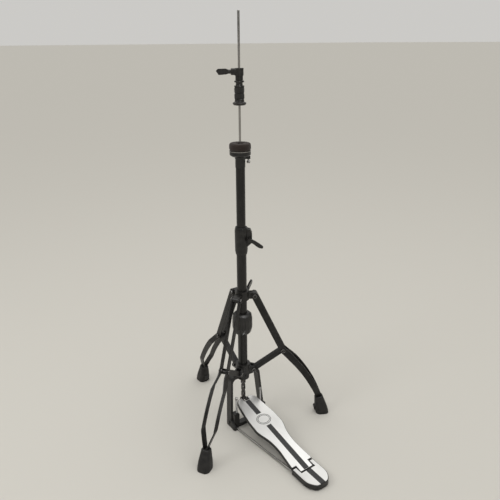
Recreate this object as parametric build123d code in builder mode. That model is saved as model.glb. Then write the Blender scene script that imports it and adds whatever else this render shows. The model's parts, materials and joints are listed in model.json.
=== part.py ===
from build123d import *
from math import atan2, cos, degrees, hypot, radians, sin
import os

os.makedirs("parts", exist_ok=True)

# A double-braced hi-hat stand, +Z up, in millimetres. The floor is Z = 0 and the origin is the
# middle of the footprint, so the tube's axis stands at (0, TUBE_Y). The pedal points to -Y.
# Every other place is given from the tube's axis: (distance out, height) or (X, Y from the axis).
TUBE_Y = 51
FIT = 0.08  # radial clearance of a pin or a shaft in its bore
CLEAR = 0.3  # gap between the faces of bodies that slide past each other

# Tubes and pull rod
BASE_R, BASE_BORE_R = 14.3, 13.0
BASE_BOTTOM, BASE_TOP = 151, 630
UPPER_R, UPPER_BORE_R = 12.7, 11.0
UPPER_BOTTOM, UPPER_TOP = 500, 816
ROD_R = 3.0
ROD_BOTTOM, ROD_JOINT, ROD_TOP = 136.5, 310, 1200.5

# Height clamp: its ears point at CLAMP_ANGLE round the tube
CLAMP_BOTTOM, CLAMP_TOP, CLAMP_R = 562, 640, 18.7
CLAMP_ANGLE = -35
CLAMP_BOLT = (23.5, 608)
EAR_HALF = 9
LEVER_DROP = 26  # degrees that the wing lever points below level

# Legs and braces, right, back and left, with their pivots
LEGS = {"right": -30, "back": 90, "left": 210}
TOP_PIVOT = (36.5, 431)
KNEE = (123.4, 241.5)
LOW_PIVOT = (33.6, 179)
LEG_MID = (194, 158)
FOOT_TOP = (243, 60)
FOOT_BOTTOM = (256, 0)
# The boot's sections: height along the leg, length, width and corner radius
BOOT_SECTIONS = ((-9, 40, 38, 14), (20, 39, 37, 13), (46, 31, 30, 11), (62, 26, 25, 9))
BAR_DEPTH, BAR_T = 19.5, 3.2
BAR_OFFSET = 10.9  # from the leg's middle plane to the middle of each bar, hub to knee
BAR_BOW = 19.5  # the same below the knee, where the bars bow apart
BRACE_W, BRACE_DEPTH, BRACE_T = 14.0, 16.0, 2.0
PIVOT_R = 4.0
HEX_R, HEX_H = 6.5, 4  # the heads of the pivot bolts
HUB_EAR_OUT = BRACE_W / 2 + 4.5  # from a leg's middle plane to the outside of the hub's ears

# Hubs
LOW_HUB_BOTTOM, LOW_HUB_TOP, LOW_HUB_R = 168.9, 200, 22
TOP_HUB_BOTTOM, TOP_HUB_TOP, TOP_HUB_R = 419, 447, 21
HUB_SCREW_ANGLE, HUB_SCREW_Z, HUB_SCREW_R = 30, 438, 4
HUB_BOSS_OUT = TOP_HUB_R + 11

# Spring tension knob, and the cage in the tube that holds the return spring up
KNOB_R, KNOB_BOTTOM, KNOB_TOP = 30, 308, 374
CAGE_R, CAGE_BORE_R, CAGE_BOTTOM, CAGE_FLOOR, CAGE_TOP = 12.5, 11.3, 180, 185, 350
CROSS_PIN_Z = 340
SPRING_R, SPRING_WIRE_R, SPRING_TOP = 8.6, 1.1, 294.5

# Pedal frame
FRAME_TOP, FRAME_T, FRAME_DEPTH = 168.5, 6.5, 25
SHOULDER_X, FRAME_FOOT_X = 54, 65
FRAME_SHIFT = 14  # how far the frame's feet stand towards the heel
YOKE_R, YOKE_BOTTOM = 19, 148
SPUR_X, SPUR_Y, SPUR_R = 45.5, -29, 3
SPUR_BOTTOM, SPUR_TOP = 6, 106
BEAM_DEPTH, BEAM_TOP, BEAM_BLOCK_TOP = 18, 13, 51.5
RADIUS_ROD_R, RADIUS_ROD_Z = 2.5, 6.5
RADIUS_ROD_X, RADIUS_ROD_HEEL_X = FRAME_FOOT_X - FRAME_T - 3.5, 33

# Footboard and heel block
HEEL_FRONT, HEEL_BACK, HEEL_HALF, HEEL_H = -291, -379, 38, 19
HEEL_MIDDLE = -346
TONGUE_HALF, TONGUE_END = 22.5, -313
HINGE_Y, HINGE_Z, HINGE_PIN_R = -302, 12, 3
HINGE = (TUBE_Y + HINGE_Y, HINGE_Z)
PAD_T, PLATE_T, STRIPE_T = 3, 1.6, 1.2  # rubber pad, bright cover plate and inlaid stripe
BOARD_SLOPE, BOARD_T = 10.75, 10
TOE_Y = -6
TOE_EAR_X, TOE_EAR_T = 4.6, 3
STRIPE_W = 17
CHAIN_PITCH, CHAIN_LINKS, CHAIN_TOP = 12.7, 5, 131
CHAIN_BOTTOM = CHAIN_TOP - CHAIN_PITCH * CHAIN_LINKS
LINK_DEPTH, LINK_T, ROLLER_R, ROLLER_HALF, CHAIN_PIN_R = 9.2, 1.3, 3.4, 2.4, 1.8

# Seat and clutch
NECK_TOP, CUP_TOP, WASHER_TOP, FELT_TOP = 842, 856, 857.3, 878
TILT_SCREW_OUT, TILT_SCREW_R, TILT_ANGLE = 22, 2.5, -34
CLUTCH_ANGLE, CLUTCH_SCREW_Z, CLUTCH_SCREW_R = 146, 1057.5, 3
CLUTCH_HEAD_BOTTOM, CLUTCH_HEAD_TOP, CLUTCH_BOSS_OUT = 1048, 1066, 21
STEM_R, STEM_BOTTOM = 6, 978
CLUTCH_FELT_R, CLUTCH_FELT_H, CLUTCH_FELTS = 13.3, 14.6, (989.8, 1004.8)


def level(z, angle=0):
    """The horizontal plane at height z, with its origin on the tube's axis and X at angle."""
    a = radians(angle)
    return Plane((0, TUBE_Y, z), x_dir=(cos(a), sin(a), 0), z_dir=(0, 0, 1))


def side(angle):
    """The upright plane through the tube's axis that points at angle: X outward, Y up."""
    a = radians(angle)
    return Plane((0, TUBE_Y, 0), x_dir=(cos(a), sin(a), 0), z_dir=(sin(a), -cos(a), 0))


def facing(angle, out=0):
    """The upright plane that faces outward at angle, out from the axis: X sideways, Y up."""
    a = radians(angle)
    return Plane(
        (out * cos(a), TUBE_Y + out * sin(a), 0),
        x_dir=(-sin(a), cos(a), 0),
        z_dir=(cos(a), sin(a), 0),
    )


def ring(outer, inner, bottom, top, mode=Mode.ADD):
    """A ring or a disc round the tube's axis, added to the part being built."""
    with BuildSketch(level(bottom)) as profile:
        Circle(outer)
        if inner:
            Circle(inner, mode=Mode.SUBTRACT)
    extrude(profile.sketch, amount=top - bottom, mode=mode)


def turned(points, mode=Mode.ADD):
    """A shape turned round the tube's axis from its half section, (distance out, height)."""
    with BuildSketch(side(0)) as profile:
        with BuildLine():
            Polyline(*points, close=True)
        make_face()
    revolve(profile.sketch, axis=Axis((0, TUBE_Y, 0), (0, 0, 1)), mode=mode)


def cross_hole(plane, place, radius, half=40, mode=Mode.SUBTRACT):
    """A round hole or pin straight through the part, across plane at place."""
    with BuildSketch(plane) as profile:
        with Locations(place):
            Circle(radius)
    extrude(profile.sketch, amount=half, both=True, mode=mode)


# ------------------------------------------------------------ tubes and height clamp
# The base tube has two slots, in which the cross pin of the spring cage travels.
with BuildPart() as base_tube:
    ring(BASE_R, BASE_BORE_R, BASE_BOTTOM, BASE_TOP)
    with BuildSketch(facing(0)):
        with Locations((0, CROSS_PIN_Z - 4)):
            SlotOverall(24, 6.4, rotation=90)
    extrude(amount=BASE_R + 2, both=True, mode=Mode.SUBTRACT)
base_tube.part.label = "base_tube"
export_step(base_tube.part, "parts/base_tube.step")

# A split casting: a sleeve on the base tube, with two ears that a bolt pulls together.
with BuildPart() as height_clamp:
    turned(
        [
            (BASE_R, CLAMP_BOTTOM),
            (CLAMP_R - 2.4, CLAMP_BOTTOM),
            (CLAMP_R - 0.6, CLAMP_BOTTOM + 10),
            (CLAMP_R, CLAMP_TOP - 8),
            (CLAMP_R - 1.5, CLAMP_TOP),
            (BASE_R, CLAMP_TOP),
        ]
    )
    with BuildSketch(side(CLAMP_ANGLE)):
        with BuildLine():
            Polyline(
                (BASE_R + 1, CLAMP_BOTTOM + 22),
                (CLAMP_R + 1, CLAMP_BOTTOM + 26),
                (30.5, CLAMP_BOTTOM + 36),
                (30.5, CLAMP_TOP - 14),
                (26, CLAMP_TOP - 4),
                (BASE_R + 1, CLAMP_TOP - 1),
                close=True,
            )
        make_face()
    extrude(amount=EAR_HALF, both=True)
    ring(BASE_R, 0, CLAMP_BOTTOM - 1, CLAMP_TOP + 1, Mode.SUBTRACT)
    with BuildSketch(side(CLAMP_ANGLE)):
        with Locations((BASE_R + 10, CLAMP_TOP - 25)):
            Rectangle(24, 62)
    extrude(amount=1.4, both=True, mode=Mode.SUBTRACT)
    cross_hole(side(CLAMP_ANGLE), CLAMP_BOLT, 3 + FIT)
height_clamp.part.label = "height_clamp"
export_step(height_clamp.part, "parts/height_clamp.step")

# A split nylon bush on top of the base tube guides the upper tube.
with BuildPart() as clamp_bush:
    ring(BASE_R, UPPER_R + FIT, BASE_TOP, CLAMP_TOP)
    ring(BASE_R + 2.2, UPPER_R + FIT, CLAMP_TOP, CLAMP_TOP + 3)
    with BuildSketch(side(CLAMP_ANGLE)):
        with Locations((BASE_R, CLAMP_TOP)):
            Rectangle(10, 40)
    extrude(amount=1, both=True, mode=Mode.SUBTRACT)
clamp_bush.part.label = "clamp_bush"
export_step(clamp_bush.part, "parts/clamp_bush.step")

# The bolt turns in the ears with its wing lever: a hexagon head, a shank, a hub and one blade.
with BuildPart() as height_wing:
    cross_hole(side(CLAMP_ANGLE), CLAMP_BOLT, 3, EAR_HALF + 5, Mode.ADD)
    with BuildSketch(side(CLAMP_ANGLE).offset(-EAR_HALF - CLEAR)):
        with Locations(CLAMP_BOLT):
            RegularPolygon(6, 6)
    extrude(amount=-4.5)
    with BuildSketch(side(CLAMP_ANGLE).offset(EAR_HALF + CLEAR)):
        with Locations(CLAMP_BOLT):
            Circle(6)
    extrude(amount=12, taper=4)
    with BuildSketch(side(CLAMP_ANGLE) * Pos(*CLAMP_BOLT, EAR_HALF + 5) * Rot(0, 0, -LEVER_DROP)):
        with BuildLine():
            under = Spline((0, -5.5), (16, -5), (30, -8), (41, -6))
            tip = ThreePointArc(under @ 1, (43.5, -3), (40.5, 0.5))
            over = Spline(tip @ 1, (26, 3.5), (0, 5.5))
            Line(over @ 1, under @ 0)
        make_face()
    extrude(amount=6.5)
height_wing.part.label = "height_wing"
export_step(height_wing.part, "parts/height_wing.step")

# The upper tube carries the tilter and slides in the base tube.
with BuildPart() as upper_tube:
    ring(UPPER_R, UPPER_BORE_R, UPPER_BOTTOM, UPPER_TOP)
upper_tube.part.label = "upper_tube"
export_step(upper_tube.part, "parts/upper_tube.step")

# A flanged nylon bush in the tube's mouth keeps the pull rod in the middle.
with BuildPart() as rod_bush:
    ring(UPPER_BORE_R, ROD_R + FIT, UPPER_TOP - 22, UPPER_TOP)
    ring(UPPER_R, ROD_R + FIT, UPPER_TOP, UPPER_TOP + 2)
rod_bush.part.label = "rod_bush"
export_step(rod_bush.part, "parts/rod_bush.step")

# ------------------------------------------------------------ tilter and seat
# The tilter's neck caps the upper tube. An arm on its rim holds the tilting screw.
with BuildPart() as tilter_neck:
    ring(13.6, UPPER_R, UPPER_TOP - 4, UPPER_TOP + 2)
    ring(13.6, 7, UPPER_TOP + 2, NECK_TOP - 8)
    turned([(7, NECK_TOP - 8), (13.6, NECK_TOP - 8), (16, NECK_TOP), (7, NECK_TOP)])
    with BuildSketch(level(NECK_TOP - 7, TILT_ANGLE)):
        with Locations(((TILT_SCREW_OUT + 12) / 2, 0)):
            Rectangle(TILT_SCREW_OUT - 12, 11)
        with Locations((TILT_SCREW_OUT, 0)):
            Circle(5.5)
            Circle(TILT_SCREW_R + FIT, mode=Mode.SUBTRACT)
    extrude(amount=6.7)
tilter_neck.part.label = "tilter_neck"
export_step(tilter_neck.part, "parts/tilter_neck.step")

# The thumbscrew pushes the cup up from below: a threaded shank with a ball-ended grip.
tilt_plane = Plane(side(TILT_ANGLE) * Pos(TILT_SCREW_OUT, NECK_TOP, 0))
with BuildPart() as tilter_screw:
    with BuildSketch(tilt_plane):
        with BuildLine():
            Polyline(
                (0, -19),
                (3.4, -19),
                (4.8, -16.5),
                (4.2, -13),
                (TILT_SCREW_R, -11.5),
                (TILT_SCREW_R, -1),
                (TILT_SCREW_R - 1, 0),
                (0, 0),
                close=True,
            )
        make_face()
    revolve(axis=Axis(tilt_plane.origin, tilt_plane.y_dir))
tilter_screw.part.label = "tilter_screw"
export_step(tilter_screw.part, "parts/tilter_screw.step")

# The bottom cymbal's seat: a cast cup, a steel washer and a thick felt, all pierced for the rod.
with BuildPart() as seat_cup:
    turned(
        [
            (8, NECK_TOP + CLEAR),
            (23, NECK_TOP + CLEAR),
            (28.5, NECK_TOP + 4),
            (28.5, CUP_TOP),
            (8, CUP_TOP),
        ]
    )
seat_cup.part.label = "seat_cup"
export_step(seat_cup.part, "parts/seat_cup.step")

with BuildPart() as seat_washer:
    ring(29, 8, CUP_TOP, WASHER_TOP)
seat_washer.part.label = "seat_washer"
export_step(seat_washer.part, "parts/seat_washer.step")

with BuildPart() as seat_felt:
    ring(29.5, 8, WASHER_TOP, FELT_TOP)
    fillet(seat_felt.edges().filter_by(GeomType.CIRCLE).sort_by(SortBy.RADIUS)[-2:], 3)
seat_felt.part.label = "seat_felt"
export_step(seat_felt.part, "parts/seat_felt.step")

# ------------------------------------------------------------ pull rod
with BuildPart() as upper_rod:
    ring(ROD_R, 0, ROD_JOINT + 1, ROD_TOP)
    chamfer(upper_rod.edges().sort_by(Axis.Z)[-1], 0.6)
upper_rod.part.label = "upper_rod"
export_step(upper_rod.part, "parts/upper_rod.step")

with BuildPart() as lower_rod:
    ring(ROD_R, 0, ROD_BOTTOM, ROD_JOINT - 1)
lower_rod.part.label = "lower_rod"
export_step(lower_rod.part, "parts/lower_rod.step")

# The coupler joins the two rods, and its flange presses on the return spring.
with BuildPart() as rod_coupler:
    with BuildSketch(level(SPRING_TOP + 4)):
        RegularPolygon(6.5, 6)
        Circle(ROD_R, mode=Mode.SUBTRACT)
    extrude(amount=ROD_JOINT + 14 - SPRING_TOP - 4)
    ring(10.4, ROD_R, SPRING_TOP, SPRING_TOP + 4)
rod_coupler.part.label = "rod_coupler"
export_step(rod_coupler.part, "parts/rod_coupler.step")

# A brass nut at the rod's lower end, and the forked clevis that it locks on the thread.
with BuildPart() as rod_nut:
    with BuildSketch(level(ROD_BOTTOM + 2)):
        RegularPolygon(6.5, 6)
        Circle(ROD_R, mode=Mode.SUBTRACT)
    extrude(amount=9)
rod_nut.part.label = "rod_nut"
export_step(rod_nut.part, "parts/rod_nut.step")

with BuildPart() as chain_clevis:
    with BuildSketch(facing(-90)):
        with BuildLine():
            Polyline(
                (-6.6, ROD_BOTTOM + 2),
                (6.6, ROD_BOTTOM + 2),
                (6.6, CHAIN_TOP - 4.5),
                (4.3, CHAIN_TOP - 4.5),
                (4.3, ROD_BOTTOM - 0.7),
                (-4.3, ROD_BOTTOM - 0.7),
                (-4.3, CHAIN_TOP - 4.5),
                (-6.6, CHAIN_TOP - 4.5),
                close=True,
            )
        make_face()
    extrude(amount=4.5, both=True)
    ring(ROD_R, 0, ROD_BOTTOM, ROD_BOTTOM + 5, Mode.SUBTRACT)
    cross_hole(side(-90), (0, CHAIN_TOP), CHAIN_PIN_R, 8.2, Mode.ADD)
chain_clevis.part.label = "chain_clevis"
export_step(chain_clevis.part, "parts/chain_clevis.step")

# Roller chain: narrow links with rollers, and wide links whose plates carry the pins.
with BuildPart() as drive_chain:
    for narrow in (True, False):
        inner = ROLLER_HALF if narrow else ROLLER_HALF + LINK_T + 0.15
        for link in range(0 if narrow else 1, CHAIN_LINKS, 2):
            pins = (CHAIN_TOP - link * CHAIN_PITCH, CHAIN_TOP - (link + 1) * CHAIN_PITCH)
            for sign in (1, -1):
                with BuildSketch(side(-90).offset(sign * inner)):
                    with Locations((0, sum(pins) / 2)):
                        SlotCenterToCenter(CHAIN_PITCH, LINK_DEPTH, rotation=90)
                extrude(amount=sign * LINK_T)
            for pin_z in pins:
                if narrow:
                    cross_hole(side(-90), (0, pin_z), ROLLER_R, inner, Mode.ADD)
                    cross_hole(side(-90), (0, pin_z), CHAIN_PIN_R + FIT)
                else:
                    cross_hole(side(-90), (0, pin_z), CHAIN_PIN_R, 5.7, Mode.ADD)
drive_chain.part.label = "drive_chain"
export_step(drive_chain.part, "parts/drive_chain.step")

# ------------------------------------------------------------ return spring and tension knob
# The cage hangs in the base tube from its cross pin, and its floor carries the spring.
with BuildPart() as spring_cage:
    ring(CAGE_R, CAGE_BORE_R, CAGE_BOTTOM, CAGE_TOP)
    ring(CAGE_R, ROD_R + 1, CAGE_BOTTOM, CAGE_FLOOR)
    with BuildSketch(facing(0)):
        with Locations((0, CROSS_PIN_Z)):
            Circle(2.6)
    extrude(amount=24, both=True)
    ring(CAGE_BORE_R, 0, CAGE_FLOOR, CAGE_TOP, Mode.SUBTRACT)
spring_cage.part.label = "spring_cage"
export_step(spring_cage.part, "parts/spring_cage.step")

SPRING_BOTTOM = CAGE_FLOOR + CLEAR
SPRING_TURNS = 14
with BuildPart() as return_spring:
    coil_height = SPRING_TOP - SPRING_BOTTOM - 2 * SPRING_WIRE_R - 0.2
    with BuildLine(level(SPRING_BOTTOM + SPRING_WIRE_R)):
        coil = Helix(coil_height / SPRING_TURNS, coil_height, SPRING_R)
    with BuildSketch(Plane(coil @ 0, z_dir=coil % 0)):
        Circle(SPRING_WIRE_R)
    sweep(path=coil, is_frenet=True)
return_spring.part.label = "return_spring"
export_step(return_spring.part, "parts/return_spring.step")

# The knob turns on a plastic sleeve on the tube, and its hollow carries the cross pin's ends.
with BuildPart() as knob_sleeve:
    ring(20, BASE_R, KNOB_BOTTOM + 2, KNOB_BOTTOM + 14)
knob_sleeve.part.label = "knob_sleeve"
export_step(knob_sleeve.part, "parts/knob_sleeve.step")

with BuildPart() as tension_knob:
    turned(
        [
            (20 + CLEAR, KNOB_BOTTOM),
            (KNOB_R - 7, KNOB_BOTTOM),
            (KNOB_R - 3.5, KNOB_BOTTOM + 5),
            (KNOB_R, KNOB_BOTTOM + 20),
            (KNOB_R, KNOB_TOP - 17),
            (KNOB_R - 2.5, KNOB_TOP - 5),
            (KNOB_R - 8, KNOB_TOP),
            (BASE_R + FIT, KNOB_TOP),
            (BASE_R + FIT, KNOB_TOP - 9),
            (25, KNOB_TOP - 9),
            (25, KNOB_BOTTOM + 14 + CLEAR),
            (20 + CLEAR, KNOB_BOTTOM + 14 + CLEAR),
        ]
    )
    with BuildSketch(level(KNOB_BOTTOM - 1)):
        with PolarLocations(KNOB_R + 0.6, 20):
            Circle(1.8)
    extrude(amount=KNOB_TOP - KNOB_BOTTOM - 16, mode=Mode.SUBTRACT)
tension_knob.part.label = "tension_knob"
export_step(tension_knob.part, "parts/tension_knob.step")

# ------------------------------------------------------------ hubs
# The lower hub turns round the tube and holds each brace between two ears.
with BuildPart() as lower_hub:
    ring(LOW_HUB_R, 0, LOW_HUB_BOTTOM + 10, LOW_HUB_TOP)
    for angle in LEGS.values():
        with BuildSketch(side(angle)):
            with BuildLine():
                Polyline(
                    (0, LOW_HUB_BOTTOM + 1),
                    (LOW_PIVOT[0], LOW_HUB_BOTTOM + 1),
                    (LOW_PIVOT[0] + 9, LOW_PIVOT[1]),
                    (LOW_PIVOT[0] + 2, LOW_PIVOT[1] + 10),
                    (0, LOW_HUB_TOP - 1),
                    close=True,
                )
            make_face()
        extrude(amount=HUB_EAR_OUT, both=True)
    ring(LOW_HUB_R, 0, LOW_HUB_BOTTOM, LOW_HUB_BOTTOM + 12)
    for angle in LEGS.values():
        with BuildSketch(side(angle)):
            with Locations((LOW_PIVOT[0] + 12, LOW_PIVOT[1] + 5)):
                Rectangle(44, 60)
        extrude(amount=BRACE_W / 2 + CLEAR, both=True, mode=Mode.SUBTRACT)
    ring(LOW_HUB_R - 1, 0, LOW_HUB_BOTTOM, LOW_HUB_TOP)
    for angle in LEGS.values():
        cross_hole(side(angle), LOW_PIVOT, PIVOT_R, 30)
    ring(BASE_R + FIT, 0, LOW_HUB_BOTTOM - 1, LOW_HUB_TOP + 1, Mode.SUBTRACT)
lower_hub.part.label = "lower_hub"
export_step(lower_hub.part, "parts/lower_hub.step")

with BuildPart() as hub_pins:
    for angle in LEGS.values():
        cross_hole(side(angle), LOW_PIVOT, PIVOT_R, HUB_EAR_OUT, Mode.ADD)
        for sign in (1, -1):
            with BuildSketch(side(angle).offset(sign * HUB_EAR_OUT)):
                with Locations(LOW_PIVOT):
                    RegularPolygon(HEX_R, 6)
            extrude(amount=sign * HEX_H)
hub_pins.part.label = "hub_pins"
export_step(hub_pins.part, "parts/hub_pins.step")

# The top hub slides on the tube as the legs fold. Its lugs stand between the leg bars.
LUG_HALF = BAR_OFFSET - BAR_T / 2 - CLEAR
with BuildPart() as top_hub:
    ring(TOP_HUB_R, 0, TOP_HUB_BOTTOM, TOP_HUB_TOP)
    for angle in LEGS.values():
        with BuildSketch(side(angle)):
            with Locations((TOP_PIVOT[0] / 2, TOP_PIVOT[1])):
                Rectangle(TOP_PIVOT[0], 19)
            with Locations(TOP_PIVOT):
                Circle(9.5)
        extrude(amount=LUG_HALF, both=True)
    with BuildSketch(facing(HUB_SCREW_ANGLE)):
        with Locations((0, HUB_SCREW_Z)):
            Circle(9)
    extrude(amount=HUB_BOSS_OUT)
    ring(BASE_R + FIT, 0, TOP_HUB_BOTTOM - 1, TOP_HUB_TOP + 1, Mode.SUBTRACT)
    with BuildSketch(facing(HUB_SCREW_ANGLE, BASE_R + 1)):
        with Locations((0, HUB_SCREW_Z)):
            Circle(HUB_SCREW_R + FIT)
    extrude(amount=30, mode=Mode.SUBTRACT)
top_hub.part.label = "top_hub"
export_step(top_hub.part, "parts/top_hub.step")

# Its wing screw: a shank that points at the tube, a hub and two wide wings.
with BuildPart() as hub_wing:
    with BuildSketch(facing(HUB_SCREW_ANGLE, BASE_R + 1.5)):
        with Locations((0, HUB_SCREW_Z)):
            Circle(HUB_SCREW_R)
    extrude(amount=HUB_BOSS_OUT - BASE_R + 2)
    with BuildSketch(facing(HUB_SCREW_ANGLE, HUB_BOSS_OUT + CLEAR)):
        with Locations((0, HUB_SCREW_Z)):
            Circle(HUB_SCREW_R + 2.6)
    extrude(amount=9, taper=5)
    with BuildSketch(side(HUB_SCREW_ANGLE) * Pos(HUB_BOSS_OUT, HUB_SCREW_Z) * Rot(22, 0, 0)):
        with BuildLine():
            lower = Spline((1.5, 0), (2, -12), (6, -24))
            end = ThreePointArc(lower @ 1, (11, -28), (17, -25))
            inner = Spline(end @ 1, (25, -13), (27, 0))
            Line(inner @ 1, lower @ 0)
        make_face()
        mirror(about=Plane.XZ)
    extrude(amount=2.5, both=True)
hub_wing.part.label = "hub_wing"
export_step(hub_wing.part, "parts/hub_wing.step")

# ------------------------------------------------------------ legs and braces
# A brace is a folded channel, open underneath, between a hub pin and a knee bolt.
BRACE_ANGLE = degrees(atan2(KNEE[1] - LOW_PIVOT[1], KNEE[0] - LOW_PIVOT[0]))
BRACE_LENGTH = hypot(KNEE[0] - LOW_PIVOT[0], KNEE[1] - LOW_PIVOT[1])
BRACE_MIDDLE = ((KNEE[0] + LOW_PIVOT[0]) / 2, (KNEE[1] + LOW_PIVOT[1]) / 2)

for name, angle in LEGS.items():
    with BuildPart() as brace:
        with BuildSketch(side(angle)):
            with Locations(BRACE_MIDDLE):
                SlotCenterToCenter(BRACE_LENGTH, BRACE_DEPTH, rotation=BRACE_ANGLE)
        extrude(amount=BRACE_W / 2, both=True)
        with BuildSketch(side(angle) * Pos(*BRACE_MIDDLE, 0) * Rot(0, 0, BRACE_ANGLE)):
            with Locations((0, -BRACE_T)):
                Rectangle(BRACE_LENGTH + BRACE_DEPTH, BRACE_DEPTH)
        extrude(amount=BRACE_W / 2 - BRACE_T, both=True, mode=Mode.SUBTRACT)
        for pivot in (LOW_PIVOT, KNEE):
            cross_hole(side(angle), pivot, PIVOT_R + FIT, 20)
    brace.part.label = f"brace_{name}"
    export_step(brace.part, f"parts/brace_{name}.step")

    # Two flat bars, parallel from the hub to the knee, bowed apart below it and joined in the foot.
    with BuildPart() as leg_bars:
        with BuildSketch(side(angle)):
            with BuildLine():
                Line(TOP_PIVOT, KNEE)
                ThreePointArc(KNEE, LEG_MID, FOOT_TOP)
                Line(FOOT_TOP, (249, 26))
            trace(line_width=BAR_DEPTH)
            with Locations(TOP_PIVOT, KNEE, FOOT_TOP):
                Circle(BAR_DEPTH / 2)
        extrude(amount=30, both=True)
        with BuildSketch(facing(angle)):
            with BuildLine():
                FilletPolyline(
                    (BAR_OFFSET, TOP_PIVOT[1] + BAR_DEPTH),
                    (BAR_OFFSET, KNEE[1] - 8),
                    (BAR_BOW, KNEE[1] - 36),
                    (BAR_BOW, FOOT_TOP[1] + 48),
                    (4.5, FOOT_TOP[1] + 4),
                    (4.5, 20),
                    radius=12,
                )
            trace(line_width=BAR_T)
            mirror(about=Plane.YZ)
        extrude(amount=300, mode=Mode.INTERSECT)
        for pivot in (TOP_PIVOT, KNEE):
            cross_hole(side(angle), pivot, PIVOT_R)
    leg_bars.part.label = f"leg_bars_{name}"
    export_step(leg_bars.part, f"parts/leg_bars_{name}.step")

    # The knee bolt runs through the bars and the brace, with a washer on each side of the brace.
    # At the hub each bar has its own short bolt.
    with BuildPart() as leg_bolts:
        outer = BAR_OFFSET + BAR_T / 2
        inner = BAR_OFFSET - BAR_T / 2
        cross_hole(side(angle), KNEE, PIVOT_R, outer, Mode.ADD)
        for sign in (1, -1):
            with BuildSketch(side(angle).offset(sign * outer)):
                with Locations(TOP_PIVOT, KNEE):
                    RegularPolygon(HEX_R, 6)
            extrude(amount=sign * HEX_H)
            with BuildSketch(side(angle).offset(sign * inner)):
                with Locations(TOP_PIVOT):
                    Circle(PIVOT_R)
            extrude(amount=sign * BAR_T)
            with BuildSketch(side(angle).offset(sign * inner)):
                with Locations(KNEE):
                    Circle(7.5)
            extrude(amount=-sign * (inner - BRACE_W / 2 - 0.15))
    leg_bolts.part.label = f"leg_bolts_{name}"
    export_step(leg_bolts.part, f"parts/leg_bolts_{name}.step")

    # A moulded rubber boot on the ends of both bars, flat on the floor, with a toe on its inside.
    foot_lean = degrees(atan2(FOOT_BOTTOM[0] - FOOT_TOP[0], FOOT_TOP[1]))
    boot = Plane(side(angle) * Pos(*FOOT_BOTTOM, 0) * Rot(0, 0, foot_lean))
    with BuildPart() as leg_foot:
        for height, length, width, corner in BOOT_SECTIONS:
            with BuildSketch(Plane(boot * Pos(0, height, 0) * Rot(-90, 0, 0))):
                RectangleRounded(length, width, corner)
        loft()
        fillet(leg_foot.edges().group_by(Axis(boot.origin, boot.y_dir))[-1], 2.5)
        with BuildSketch(boot):
            with Locations((-17, 22)):
                RectangleRounded(13, 15, 4)
        extrude(amount=8, both=True)
        split(bisect_by=Plane.XY, keep=Keep.TOP)
        add(leg_bars.part, mode=Mode.SUBTRACT)
    leg_foot.part.label = f"leg_foot_{name}"
    export_step(leg_foot.part, f"parts/leg_foot_{name}.step")

# ------------------------------------------------------------ pedal frame
# One casting: a yoke round the tube's lower end, two shoulders and two uprights that lean
# towards the heel as they go down to the floor. A lug on each foot is the radius rod's socket.
lean = atan2(FRAME_SHIFT, FRAME_TOP)
LUG_FRONT, LUG_BACK, LUG_TOP = -20, -47, 14
frame_plane = Plane((0, TUBE_Y, FRAME_TOP), x_dir=(1, 0, 0), z_dir=(0, -cos(lean), sin(lean)))
with BuildPart() as pedal_frame:
    with BuildSketch(frame_plane):
        with BuildLine():
            shoulder = ThreePointArc(
                (SHOULDER_X - 17, 0), (SHOULDER_X - 5, -5), (SHOULDER_X, -17)
            )
            outside = Line(shoulder @ 1, (FRAME_FOOT_X + 0.6, -FRAME_TOP - 10))
            sole = Line(outside @ 1, (FRAME_FOOT_X - FRAME_T + 0.6, -FRAME_TOP - 10))
            inside = Line(sole @ 1, (SHOULDER_X - FRAME_T, -26))
            arch = ThreePointArc(
                inside @ 1, (SHOULDER_X - FRAME_T - 4, -15), (SHOULDER_X - FRAME_T - 16, -11)
            )
            Polyline(arch @ 1, (0, -11), (0, 0), shoulder @ 0)
        make_face()
        mirror(about=Plane.YZ)
    extrude(amount=FRAME_DEPTH / 2, both=True)
    ring(YOKE_R, 0, YOKE_BOTTOM, FRAME_TOP)
    for sign in (1, -1):
        with BuildSketch(Plane.YZ.offset(sign * FRAME_FOOT_X)):
            with BuildLine():
                Polyline(
                    (TUBE_Y + LUG_BACK, 0),
                    (TUBE_Y + LUG_FRONT, 0),
                    (TUBE_Y + LUG_FRONT, LUG_TOP + 14),
                    (TUBE_Y + LUG_BACK + 6, LUG_TOP),
                    (TUBE_Y + LUG_BACK, LUG_TOP - 5),
                    close=True,
                )
            make_face()
        extrude(amount=-sign * FRAME_T)
        with BuildSketch(level(0)):
            with Locations((sign * (RADIUS_ROD_X + 1), LUG_BACK + 4)):
                Rectangle(9, 8)
        extrude(amount=LUG_TOP - 3)
        with BuildSketch(Plane.XZ.offset(-TUBE_Y - LUG_BACK - 8.5)):
            with Locations((sign * RADIUS_ROD_X, RADIUS_ROD_Z)):
                Circle(RADIUS_ROD_R)
        extrude(amount=12, mode=Mode.SUBTRACT)
    split(bisect_by=Plane.XY, keep=Keep.TOP)
    ring(YOKE_R + 40, 0, FRAME_TOP, FRAME_TOP + 20, Mode.SUBTRACT)
    ring(BASE_R, 0, BASE_BOTTOM, FRAME_TOP + 1, Mode.SUBTRACT)
    ring(9, 0, YOKE_BOTTOM - 1, FRAME_TOP, Mode.SUBTRACT)
pedal_frame.part.label = "pedal_frame"
export_step(pedal_frame.part, "parts/pedal_frame.step")

# A nylon bush in the tube's lower end guides the lower pull rod.
with BuildPart() as guide_bush:
    ring(BASE_BORE_R, ROD_R + FIT, BASE_BOTTOM, BASE_BOTTOM + 15)
guide_bush.part.label = "guide_bush"
export_step(guide_bush.part, "parts/guide_bush.step")

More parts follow.
